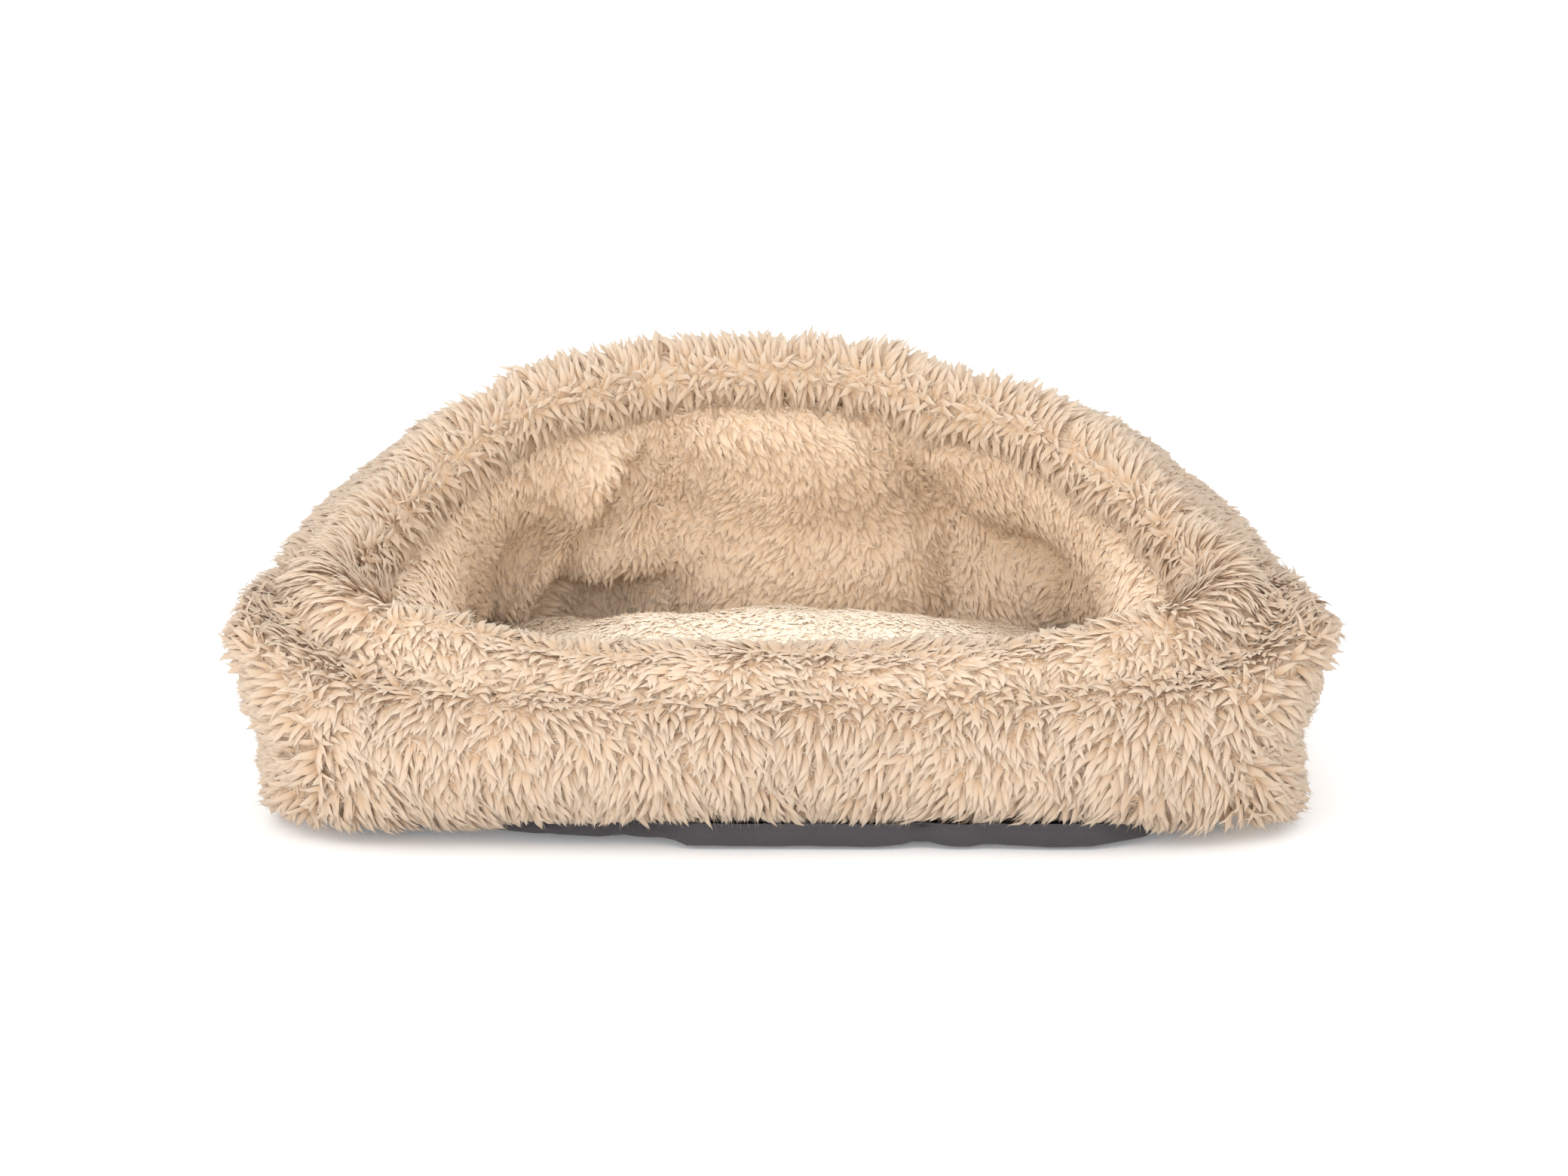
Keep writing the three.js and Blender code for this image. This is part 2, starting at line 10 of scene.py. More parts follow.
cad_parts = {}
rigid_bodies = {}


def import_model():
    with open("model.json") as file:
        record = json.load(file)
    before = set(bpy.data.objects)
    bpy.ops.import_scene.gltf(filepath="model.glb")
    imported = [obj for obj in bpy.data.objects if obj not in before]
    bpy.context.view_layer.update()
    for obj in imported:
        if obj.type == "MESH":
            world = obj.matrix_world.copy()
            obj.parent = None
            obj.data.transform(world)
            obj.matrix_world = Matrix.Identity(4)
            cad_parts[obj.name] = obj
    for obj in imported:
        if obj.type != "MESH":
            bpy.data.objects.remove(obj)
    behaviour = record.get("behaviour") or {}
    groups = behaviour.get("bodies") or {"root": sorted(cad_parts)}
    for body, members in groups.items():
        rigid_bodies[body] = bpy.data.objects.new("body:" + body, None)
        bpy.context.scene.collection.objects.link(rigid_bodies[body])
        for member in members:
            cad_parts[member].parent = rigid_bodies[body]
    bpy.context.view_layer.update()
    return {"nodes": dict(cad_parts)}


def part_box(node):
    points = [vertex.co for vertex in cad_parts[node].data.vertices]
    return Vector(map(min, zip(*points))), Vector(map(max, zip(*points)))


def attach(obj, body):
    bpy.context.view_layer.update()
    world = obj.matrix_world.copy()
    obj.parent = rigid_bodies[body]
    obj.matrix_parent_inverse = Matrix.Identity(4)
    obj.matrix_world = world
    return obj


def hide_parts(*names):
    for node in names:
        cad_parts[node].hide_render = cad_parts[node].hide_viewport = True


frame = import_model()

# camera, floor and light come first
view = {"distance": 1.9, "elevation": 9, "aimHeight": 0.12, "lens": 75.3,
        "shiftX": 0.0019, "shiftY": -0.027}
studio = {"floorSize": 14, "floorTone": 0.93, "floorDrop": 0.0006, "floorGlow": 0.15, "skyTone": 1.0,
          "skyPower": 1.25, "keyPower": 8, "frontPower": 22, "fillPower": 0.2}


def deselect():
    if bpy.context.object and bpy.context.object.mode != "OBJECT":
        bpy.ops.object.mode_set(mode="OBJECT")
    bpy.ops.object.select_all(action="DESELECT")


def makeActive(thing):
    deselect()
    thing.select_set(True)
    bpy.context.view_layer.objects.active = thing
    return thing


def addCamera():
    tilt = math.radians(view["elevation"])
    place = (0, -view["distance"] * math.cos(tilt), view["aimHeight"] + view["distance"] * math.sin(tilt))
    bpy.ops.object.camera_add(location=place, rotation=(math.pi / 2 - tilt, 0, 0))
    camera = bpy.context.object
    camera.name = "frontCamera"
    camera.data.lens = view["lens"]
    camera.data.shift_x = view["shiftX"]
    camera.data.shift_y = view["shiftY"]
    bpy.context.scene.camera = camera


def addSoftbox(name, place, size, power, tint):
    bpy.ops.object.light_add(type="AREA", location=place)
    lamp = bpy.context.object
    lamp.name = name
    lamp.data.shape = "RECTANGLE"
    lamp.data.size, lamp.data.size_y = size
    lamp.data.energy = power
    lamp.data.color = tint
    lamp.rotation_euler = (Vector((0, 0, 0.1)) - Vector(place)).to_track_quat("-Z", "Y").to_euler()


addCamera()
addSoftbox("keySoftbox", (-1.3, -1.7, 1.9), (1.5, 1.2), studio["keyPower"], (1, 0.985, 0.96))
addSoftbox("frontSoftbox", (-0.5, -2.35, 0.5), (1.8, 0.8), studio["frontPower"], (1, 0.99, 0.98))
addSoftbox("fillSoftbox", (1.8, -1.5, 1.1), (1.6, 1.4), studio["fillPower"], (0.97, 0.98, 1))
bpy.context.scene.view_settings.view_transform = "Standard"
sky = bpy.data.worlds.new("studioSky")
bpy.context.scene.world = sky
sky.use_nodes = True
sky.node_tree.nodes["Background"].inputs["Color"].default_value = (*[studio["skyTone"]] * 3, 1)
sky.node_tree.nodes["Background"].inputs["Strength"].default_value = studio["skyPower"]


# materials: a wire wraps a socket, so shader maths reads as sums
class Wire:
    def __init__(self, paint, socket):
        self.paint, self.socket = paint, socket

    def maths(self, operation, *terms):
        return self.paint.node("ShaderNodeMath", {"operation": operation}, dict(enumerate(terms)))

    def __add__(self, other):
        return self.maths("ADD", self, other)

    def __radd__(self, other):
        return self.maths("ADD", other, self)

    def __sub__(self, other):
        return self.maths("SUBTRACT", self, other)

    def __rsub__(self, other):
        return self.maths("SUBTRACT", other, self)

    def __mul__(self, other):
        return self.maths("MULTIPLY", self, other)

    def __rmul__(self, other):
        return self.maths("MULTIPLY", other, self)


def findSocket(sockets, key):
    if isinstance(key, int):
        return sockets[key]
    return ([s for s in sockets if s.identifier == key] + [s for s in sockets if s.name == key])[0]


class Paint:
    def __init__(self, name, roughness, sheen=0.0, sheenRoughness=0.5):
        self.material = bpy.data.materials.new(name)
        self.material.use_nodes = True
        self.tree = self.material.node_tree
        self.shader = self.tree.nodes["Principled BSDF"]
        self.shader.inputs["Roughness"].default_value = roughness
        self.shader.inputs["Sheen Weight"].default_value = sheen
        self.shader.inputs["Sheen Roughness"].default_value = sheenRoughness
        self.shader.inputs["Specular IOR Level"].default_value = 0.2

    def node(self, kind, settings=None, inputs=None, output=0):
        made = self.tree.nodes.new(kind)
        for key, value in (settings or {}).items():
            if key == "stops":
                ramp = made.color_ramp.elements
                while len(ramp) < len(value):
                    ramp.new(0.5)
                for stop, (at, colour) in zip(ramp, value):
                    stop.position, stop.color = at, (*colour, 1)
            else:
                setattr(made, key, value)
        for key, value in (inputs or {}).items():
            self.feed(findSocket(made.inputs, key), value)
        return Wire(self, findSocket(made.outputs, output))

    def feed(self, socket, value):
        if isinstance(value, Wire):
            self.tree.links.new(value.socket, socket)
        elif isinstance(value, tuple) and len(value) == 3 and socket.type == "RGBA":
            socket.default_value = (*value, 1)
        else:
            socket.default_value = value

    def mixColours(self, how, factor, first, second):
        return self.node("ShaderNodeMix", {"data_type": "RGBA", "blend_type": how, "clamp_result": False},
                         {"Factor_Float": factor, "A_Color": first, "B_Color": second}, "Result_Color")

    def noise(self, vector, scale, detail=2.0, roughness=0.5):
        inputs = {"Vector": vector, "Scale": scale, "Detail": detail, "Roughness": roughness}
        return self.node("ShaderNodeTexNoise", {"noise_dimensions": "3D"}, inputs, "Fac")

    def grey(self, value):
        return self.node("ShaderNodeCombineColor", {}, {0: value, 1: value, 2: value})

    def colour(self, value):
        self.feed(self.shader.inputs["Base Color"], value)

    def bump(self, height, strength, distance):
        inputs = {"Height": height, "Strength": strength, "Distance": distance}
        normal = self.node("ShaderNodeBump", {}, inputs)
        self.feed(self.shader.inputs["Normal"], normal)


plushGrain = {"locks": 37, "fibres": 330, "alongFibre": 5, "wander": 0.25, "bump": 0.2, "bumpDepth": 0.0003}


def plushPaint(name, look):  # the pile's own map holds the lock across and the way from root to tip along
    paint = Paint(name, look["roughness"], look["sheen"], 0.45)
    uv = paint.node("ShaderNodeUVMap", {"uv_map": "OFBake"}, output="UV")
    across = paint.node("ShaderNodeSeparateXYZ", {}, {"Vector": uv})
    along = Wire(paint, across.socket.node.outputs[1])
    lockPlace = paint.node("ShaderNodeCombineXYZ", {}, {0: across * plushGrain["locks"], 1: 0.0, 2: 0.0})
    fibrePlace = paint.node("ShaderNodeCombineXYZ", {}, {0: across * plushGrain["fibres"],
                                                         1: along * plushGrain["alongFibre"], 2: 3.0})
    lockNoise, fibreNoise = paint.noise(lockPlace, 1.0, 1.0), paint.noise(fibrePlace, 1.0, 2.0)
    reach = along + (lockNoise - 0.5) * plushGrain["wander"]
    # the ramp darkens towards the root: partly the pile's own tone, partly painted shade between the locks
    shade = paint.node("ShaderNodeValToRGB", {"stops": look["stops"]}, {"Fac": reach}, "Color")
    tone = (lockNoise - 0.5) * look["lockTone"] + (fibreNoise - 0.5) * look["fibreTone"] + 1.0
    paint.colour(paint.mixColours("MULTIPLY", 1.0, shade, paint.grey(tone)))
    paint.bump(fibreNoise, plushGrain["bump"], plushGrain["bumpDepth"])
    return paint.material


# each look's stops run from the root to the tip, darker at the root: partly the pile's own tone, partly
# painted shade between the locks
creamPlush = {"roughness": 0.8, "sheen": 0.1, "lockTone": 0.1, "fibreTone": 0.12,
              "stops": [(0.0, (0.48, 0.30, 0.17)), (0.25, (0.53, 0.37, 0.245)), (0.5, (0.55, 0.415, 0.30)),
                        (0.8, (0.565, 0.45, 0.343)), (1.0, (0.59, 0.487, 0.385))]}
# the roll's pile is the cream pile made about an eighth brighter: painted light against the shade on the roll
rollLitPlush = {"roughness": 0.8, "sheen": 0.1, "lockTone": 0.1, "fibreTone": 0.12,
             "stops": [(0.0, (0.55, 0.36, 0.21)), (0.25, (0.60, 0.43, 0.29)), (0.5, (0.62, 0.475, 0.345)),
                       (0.8, (0.64, 0.515, 0.395)), (1.0, (0.665, 0.555, 0.44))]}
# the inside pile, on the linings and the inner front, is far brighter than the cream outside: painted light
# that lifts the shade under the hood
insideLitLook = {"roughness": 0.8, "sheen": 0.1, "lockTone": 0.12, "fibreTone": 0.12,
             "stops": [(0.0, (0.72, 0.51, 0.33)), (0.25, (0.84, 0.64, 0.45)), (0.5, (0.92, 0.735, 0.55)),
                       (0.8, (0.96, 0.80, 0.64)), (1.0, (0.98, 0.86, 0.72))]}
palePlush = {"roughness": 0.8, "sheen": 0.1, "lockTone": 0.06, "fibreTone": 0.08,
             "stops": [(0.0, (0.93, 0.77, 0.61)), (0.25, (0.95, 0.81, 0.66)), (0.5, (0.97, 0.85, 0.70)),
                       (0.8, (0.98, 0.87, 0.73)), (1.0, (0.99, 0.89, 0.76))]}
palePaint = plushPaint("seatPlush", palePlush)
creamPaint = plushPaint("creamPlush", creamPlush)
rollLitPaint = plushPaint("rollLitPlush", rollLitPlush)
insideLitPaint = plushPaint("liningLitPlush", insideLitLook)


def floorPaint():
    paint = Paint("paleFloor", 0.9)
    paint.shader.inputs["Base Color"].default_value = (*[studio["floorTone"]] * 3, 1)
    paint.shader.inputs["Emission Color"].default_value = (1, 1, 1, 1)
    paint.shader.inputs["Emission Strength"].default_value = studio["floorGlow"]
    return paint.material


def weavePaint():
    look = {"dark": (0.04, 0.036, 0.041), "light": (0.092, 0.085, 0.09), "threads": 900}
    paint = Paint("greyWeave", 0.8, 0.15)
    place = paint.node("ShaderNodeTexCoord", output="Object")
    split = paint.node("ShaderNodeSeparateXYZ", {}, {"Vector": place})
    turns = look["threads"] * 2 * math.pi
    outputs = split.socket.node.outputs
    warp = (split * turns).maths("SINE", split * turns)
    weft = (Wire(paint, outputs[1]) + Wire(paint, outputs[2])) * turns
    weft = weft.maths("SINE", weft)
    weave = warp * weft * 0.5 + 0.5
    worn = paint.noise(place, 45.0, 4.0)
    paint.colour(paint.mixColours("MIX", weave * 0.6 + worn * 0.5 - 0.1, look["dark"], look["light"]))
    paint.feed(paint.shader.inputs["Roughness"], worn * 0.2 + 0.7)
    paint.bump(weave + worn * 0.6, 0.5, 0.0004)
    return paint.material


def fibrePaint():
    paint = Paint("fibreFilling", 0.95, 0.3)
    place = paint.node("ShaderNodeTexCoord", output="Object")
    fluff = paint.noise(place, 160.0, 6.0, 0.7)
    paint.colour(paint.mixColours("MIX", fluff, (0.72, 0.70, 0.66), (0.92, 0.91, 0.88)))
    paint.bump(fluff, 0.7, 0.002)
    return paint.material


def threadPaint():
    paint = Paint("tuftThread", 0.7, 0.1)
    place = paint.node("ShaderNodeTexCoord", output="Object")
    twist = paint.noise(place, 2200.0, 2.0)
    paint.colour(paint.mixColours("MIX", twist, (0.42, 0.29, 0.17), (0.70, 0.55, 0.38)))
    paint.bump(twist, 0.6, 0.0003)
    return paint.material


greyPaint, fillPaint, tuftPaint = weavePaint(), fibrePaint(), threadPaint()
bpy.ops.mesh.primitive_plane_add(size=studio["floorSize"], location=(0, 0, -studio["floorDrop"]))
floor = bpy.context.object
floor.name = "studioFloor"
floor.data.materials.append(floorPaint())
print("camera, light and materials ready")

# the padded body: walls, hood, lining and roll as one skin, puffed between its seams
bodyShape = {"voxel": 0.005, "swell": 0.0035, "stuffing": 0.0085, "shrink": 0.0015, "pressure": 4.0,
             "frames": 20, "cap": 0.009, "pinWidth": 0.006, "pinHeight": 0.006, "foot": 0.003,
             "seamDepth": 0.005, "seamWidth": 0.009, "bendShare": 0.15, "bendX": 0.15, "bendY": -0.08,
             "liningSeamDepth": 0.012, "liningSeamWidth": 0.014, "leftSeamShare": 0.45,
             "slackLow": 0.07, "slackHigh": 0.19, "slackRounds": 45, "skinThickness": 0.0025}
seatShape = {"voxel": 0.005, "swell": 0.0025, "stuffing": 0.005, "shrink": 0.0015, "pressure": 3.0,
             "frames": 20, "cap": 0.008, "pinWidth": 0.012, "pinHeight": 0.03, "rimHeight": 0.03,
             "lumps": 0.0022, "lumpSize": 0.06}
panelNodes = ["front_outer_cloth", "front_inner_cloth", "right_outer_cloth", "right_hood_cloth",
              "back_outer_cloth", "back_hood_cloth", "left_outer_cloth", "left_hood_cloth",
              "right_lining_cloth", "back_lining_cloth", "left_lining_cloth", "roll_front_cloth",
              "roll_hood_cloth"]
fillNodes = ["front_filling", "right_filling", "back_filling", "left_filling", "roll_filling"]


def copyOf(nodes, name):
    parts = []
    for node in nodes:
        part = frame["nodes"][node].copy()
        part.data = frame["nodes"][node].data.copy()
        part.parent = None
        for key in list(part.keys()):
            if key.startswith("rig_"):
                del part[key]
        bpy.context.scene.collection.objects.link(part)
        parts.append(part)
    deselect()
    for part in parts:
        part.select_set(True)
    bpy.context.view_layer.objects.active = parts[0]
    if len(parts) > 1:
        bpy.ops.object.join()
    whole = bpy.context.object
    whole.name = name
    whole.data.name = name
    whole.data.materials.clear()
    bpy.ops.object.mode_set(mode="EDIT")
    bpy.ops.mesh.select_all(action="SELECT")
    bpy.ops.mesh.remove_doubles(threshold=0.00001)
    bpy.ops.object.mode_set(mode="OBJECT")
    return whole


def applyModifier(thing, kind, name, **settings):
    makeActive(thing)
    modifier = thing.modifiers.new(name, kind)
    for key, value in settings.items():
        setattr(modifier, key, value)
    bpy.ops.object.modifier_apply(modifier=name)


def pointsOf(mesh):
    points = np.zeros(len(mesh.vertices) * 3, np.float32)
    mesh.vertices.foreach_get("co", points)
    return points.reshape(-1, 3).astype(float)


def normalsOf(mesh):
    normals = np.zeros(len(mesh.vertices) * 3, np.float32)
    mesh.vertices.foreach_get("normal", normals)
    return normals.reshape(-1, 3).astype(float)


def calmNormals(mesh, rounds):  # averaged over the neighbours, so that creases don't turn them aside
    normals, ends = normalsOf(mesh), np.zeros(len(mesh.edges) * 2, np.int32)
    mesh.edges.foreach_get("vertices", ends)
    a, b = ends.reshape(-1, 2).T
    for _ in range(rounds):
        total = normals.copy()
        np.add.at(total, a, normals[b])
        np.add.at(total, b, normals[a])
        normals = total / np.maximum(np.linalg.norm(total, axis=1), 1e-9)[:, None]
    return normals


def setPoints(mesh, points):
    mesh.vertices.foreach_set("co", points.astype(np.float32).ravel())
    mesh.update()


def remeshed(cloths, fillings, name, shape):  # all swollen first, so that the gaps between them close
    thing, stuffing = copyOf(cloths, name), copyOf(fillings, name + "Filling")
    applyModifier(thing, "DISPLACE", "swell", strength=shape["swell"], mid_level=0.0)
    applyModifier(stuffing, "DISPLACE", "swell", strength=shape["stuffing"], mid_level=0.0)
    stuffing.select_set(True)
    thing.select_set(True)
    bpy.context.view_layer.objects.active = thing
    bpy.ops.object.join()
    voxel, swell = shape["voxel"], shape["swell"]
    applyModifier(thing, "REMESH", "even", mode="VOXEL", voxel_size=voxel, use_smooth_shade=True)
    bpy.ops.object.mode_set(mode="EDIT")      # only the outer skin is kept, not what is closed off inside
    bpy.ops.mesh.select_all(action="DESELECT")
    bpy.ops.object.mode_set(mode="OBJECT")
    points = pointsOf(thing.data)
    thing.data.vertices[int(points[:, 2].argmax())].select = True
    bpy.ops.object.mode_set(mode="EDIT")
    bpy.ops.mesh.select_mode(type="VERT")
    bpy.ops.mesh.select_linked()
    bpy.ops.mesh.select_all(action="INVERT")
    bpy.ops.mesh.delete(type="VERT")
    bpy.ops.object.mode_set(mode="OBJECT")
    applyModifier(thing, "SMOOTH", "even", factor=0.5, iterations=3)
    setPoints(thing.data, pointsOf(thing.data) - normalsOf(thing.data) * swell)
    applyModifier(thing, "SMOOTH", "even", factor=0.5, iterations=2)
    return thing


def nearestPanel(mesh, nodes):
    centres = np.array([face.center for face in mesh.polygons])
    best, label = np.full(len(centres), 9.0), np.zeros(len(centres), int)
    for index, node in enumerate(nodes):
        data = frame["nodes"][node].data
        tree = BVHTree.FromPolygons([v.co for v in data.vertices], [p.vertices for p in data.polygons])
        low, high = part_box(node)
        near = ((centres > np.array(low) - 0.02) & (centres < np.array(high) + 0.02)).all(1)
        for face in np.flatnonzero(near):
            found = tree.find_nearest(Vector(centres[face]))
            if found[3] is not None and found[3] < best[face]:
                best[face], label[face] = found[3], index
    return label


def seamPoints(mesh, label, pairs=None):
    seen, seams = {}, []
    for face, polygon in enumerate(mesh.polygons):
        for edge in polygon.edge_keys:
            if edge in seen and label[seen[edge]] != label[face]:
                kinds = {int(label[seen[edge]]), int(label[face])}
                if pairs is None or kinds <= pairs:
                    seams.extend(edge)
            seen[edge] = face
    return sorted(set(seams))


def distanceTo(points, chosen):
    tree = KDTree(len(chosen))
    for i, index in enumerate(chosen):
        tree.insert(points[index], i)
    tree.balance()
    return np.array([tree.find(point)[2] for point in points])


def waves(points, size, seed, count=10):  # smooth noise, about -1 to 1, with hills of this size
    random = np.random.default_rng(seed)
    total = np.zeros(len(points))
    for _ in range(count):
        turn = random.normal(size=3)
        turn *= 2 * math.pi / size * random.uniform(0.6, 1.5) / np.linalg.norm(turn)
        total += np.sin(points @ turn + random.uniform(0, 7))
    return total / math.sqrt(count / 2) / 1.4


def puff(thing, shape, held):
    mesh = thing.data
    before = pointsOf(mesh)
    group = thing.vertex_groups.new(name="held")
    for index in np.flatnonzero(held > 0.02):
        group.add([int(index)], float(min(held[index], 1)), "REPLACE")
    setPoints(mesh, before - normalsOf(mesh) * shape["shrink"])
    cloth = thing.modifiers.new("puff", "CLOTH")
    cloth.settings.quality = 4
    cloth.settings.mass = 0.25
    cloth.settings.tension_stiffness = 12
    cloth.settings.compression_stiffness = 12
    cloth.settings.bending_stiffness = 0.6
    cloth.settings.vertex_group_mass = "held"
    cloth.settings.use_pressure = True
    cloth.settings.uniform_pressure_force = shape["pressure"]
    cloth.settings.effector_weights.gravity = 0
    cloth.collision_settings.use_collision = False
    cloth.collision_settings.use_self_collision = False
    cloth.point_cache.frame_start, cloth.point_cache.frame_end = 1, shape["frames"]
    for step in range(1, shape["frames"] + 1):
        bpy.context.scene.frame_set(step)
    makeActive(thing)
    bpy.ops.object.modifier_apply(modifier="puff")
    bpy.context.scene.frame_set(1)
    moved = pointsOf(mesh) - before
    size = np.linalg.norm(moved, axis=1)
    usual = round(float(np.percentile(size, 95)) * 1000, 1)
    print("puffed", thing.name, "by up to", usual, "mm at most places")
    limit = np.minimum(1, shape["cap"] / np.maximum(size, 1e-9))
    setPoints(mesh, before + moved * limit[:, None])
    thing.vertex_groups.clear()
    applyModifier(thing, "SMOOTH", "even", factor=0.5, iterations=2)


body = remeshed(panelNodes, fillNodes, "bodySkin", bodyShape)
bodyLabel = nearestPanel(body.data, panelNodes)
print("body skin has", len(body.data.vertices), "points")
bodySeams = seamPoints(body.data, bodyLabel)
backLining, leftLining = panelNodes.index("back_lining_cloth"), panelNodes.index("left_lining_cloth")
linings = {panelNodes.index("right_lining_cloth"), backLining, leftLining}
liningSeams = seamPoints(body.data, bodyLabel, linings)
points = pointsOf(body.data)
toSeam, toLining = distanceTo(points, bodySeams), distanceTo(points, liningSeams)
held = np.exp(-(toSeam / bodyShape["pinWidth"]) ** 2) + (points[:, 2] < bodyShape["pinHeight"])
puff(body, bodyShape, held)

# how the soft walls have settled: at each height in metres, how many millimetres each side stands out
fit = {"heights": (0.0, 0.02, 0.05, 0.085, 0.105, 0.125, 0.15, 0.2), "left": (9, 3, -10, -6, 3, 4, -5, -3),
       "right": (16, 7, -11, -7, 4, -4, -14, -14), "from": 0.19, "over": 0.08,
       "archDrop": ((0.092, 0.062, 0.0135), (-0.1, 0.055, 0.007)), "archFrom": 0.1,
       "lumps": 0.0015, "lumpSize": 0.09}


def settled(points):
    points = points.copy()
    x, z = points[:, 0], points[:, 2]
    share = np.clip((np.abs(x) - fit["from"]) / fit["over"], 0, 1)
    left, right = (np.interp(z, fit["heights"], fit[side]) for side in ("left", "right"))
    drop = sum(depth * np.exp(-((x - at) / width) ** 2) for at, width, depth in fit["archDrop"])
    points[:, 0] += np.sign(x) * share * share * (3 - 2 * share) * np.where(x < 0, left, right) * 0.001
    points[:, 2] -= drop * np.clip((z - fit["archFrom"]) / 0.1, 0, 1)
    return points


onPanel = np.zeros(len(body.data.vertices), int)
for face, polygon in enumerate(body.data.polygons):
    onPanel[list(polygon.vertices)] = bodyLabel[face]
points = pointsOf(body.data)
group = body.vertex_groups.new(name="lining")       # slack enough to run smoothly from the wall to the hood
low, high = bodyShape["slackLow"], bodyShape["slackHigh"]
slack = np.isin(onPanel, list(linings)) & (points[:, 2] > low) & (points[:, 2] < high)
for index in np.flatnonzero(slack):
    height = points[index, 2]
    group.add([int(index)], float(min(1, (height - low) / 0.02, (high - height) / 0.03)), "REPLACE")
applyModifier(body, "SMOOTH", "slack", factor=0.6, iterations=bodyShape["slackRounds"], vertex_group="lining")

points, normals = pointsOf(body.data), normalsOf(body.data)
x, z = points[:, 0], points[:, 2]
bends = (np.abs(x) > bodyShape["bendX"]) & (points[:, 1] < bodyShape["bendY"])   # the roll is full there
push = -bodyShape["seamDepth"] * np.exp(-(toSeam / bodyShape["seamWidth"]) ** 2)
push *= np.where(bends, bodyShape["bendShare"], 1)
dent = bodyShape["liningSeamDepth"] * np.exp(-(toLining / bodyShape["liningSeamWidth"]) ** 2)
push -= dent * np.where(x < 0, bodyShape["leftSeamShare"], 1)
# the left lining folds over along a slanting line, and below it the lining is tucked in behind the seat
fold = {"foot": (-0.143, 0.077), "lean": 0.57, "proud": 0.014, "proudWidth": 0.013, "deep": 0.013,
        "deepWidth": 0.010, "crestAt": -0.014, "creaseAt": 0.008, "low": 0.04, "high": 0.185,
        "tuckAt": -0.113, "tuckWidth": 0.034, "tuckTop": 0.079, "tuckEdge": 0.009, "tuck": 0.032,
        "lip": 0.005, "lipHeight": 0.092, "lipWidth": 0.016, "lipAt": 0.03, "lipReach": 0.05}
beyond = x - fold["foot"][0] - fold["lean"] * (z - fold["foot"][1])
crest = fold["proud"] * np.exp(-((beyond - fold["crestAt"]) / fold["proudWidth"]) ** 2)
crest -= fold["deep"] * np.exp(-((beyond - fold["creaseAt"]) / fold["deepWidth"]) ** 2)
ends = np.clip((fold["high"] - z) / 0.03, 0, 1) * np.clip((z - fold["low"]) / 0.02, 0, 1)
push += crest * ends * (onPanel == leftLining)
rear = (onPanel == leftLining) | (onPanel == backLining)
behind = np.exp(-((x - fold["tuckAt"]) / fold["tuckWidth"]) ** 2)
push -= fold["tuck"] * behind * np.clip((fold["tuckTop"] - z) / fold["tuckEdge"], 0, 1) * rear
lip = fold["lip"] * np.exp(-((z - fold["lipHeight"]) / fold["lipWidth"]) ** 2)
push += lip * rear * (np.abs(beyond - fold["lipAt"]) < fold["lipReach"])
push += fit["lumps"] * waves(points, fit["lumpSize"], 4, 24)
points = settled(points + normals * push[:, None])
points[:, 2] = np.maximum(points[:, 2], bodyShape["foot"])
setPoints(body.data, points)

seat = remeshed(["seat_cloth"], ["seat_filling"], "seatSkin", seatShape)
points = pointsOf(seat.data)
tackBoxes = [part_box(f"seat_tack_{number}") for number in (1, 2, 3, 4)]
tackSpots = np.array([(Vector(low) + Vector(high)) / 2 for low, high in tackBoxes])
toTack = np.min([np.linalg.norm(points[:, :2] - spot[:2], axis=1) for spot in tackSpots], axis=0)
held = np.exp(-(toTack / seatShape["pinWidth"]) ** 2) + (points[:, 2] < seatShape["pinHeight"])
puff(seat, seatShape, held)
points, normals = pointsOf(seat.data), normalsOf(seat.data)
lumps = seatShape["lumps"] * waves(points, seatShape["lumpSize"], 8) * np.minimum(1, toTack / 0.03)
points += normals * lumps[:, None]
setPoints(seat.data, points)
print("body and seat puffed")

# which way the pile is brushed, from the line that the roll follows
rollPoints = pointsOf(frame["nodes"]["roll_filling"].data)
rollMiddle = (0, -0.05)
bins = 48


def azimuth(p):
    return np.arctan2(p[:, 0] - rollMiddle[0], -(p[:, 1] - rollMiddle[1]))


inBin = ((azimuth(rollPoints) + math.pi) / (2 * math.pi) * bins).astype(int) % bins
known = np.unique(inBin)
centres = np.array([rollPoints[inBin == i].mean(0) for i in known])
turns = ((np.arange(bins) + 0.5) / bins * 2 * math.pi - math.pi)[known]


def rollLine(angle):
    angle = (angle + math.pi) % (2 * math.pi) - math.pi
    return np.stack([np.interp(angle, turns, centres[:, k], period=2 * math.pi) for k in range(3)], 1)


def unit(v):
    return v / np.maximum(np.linalg.norm(v, axis=1), 1e-9)[:, None]


def alongRoll(p):
    angle = azimuth(p)
    return unit(rollLine(angle + 0.12) - rollLine(angle - 0.12))


def ridgeSide(p, n):  # above nought outside the parting along the roll, below it inside
    outward = np.stack([p[:, 0] / 0.25 ** 2, np.zeros(len(p)), (p[:, 2] - 0.02) / 0.2 ** 2], 1)
    outward = unit(outward) * 0.8 + np.array([0, 0.6, 0])
    return (n * outward).sum(1) + 0.5


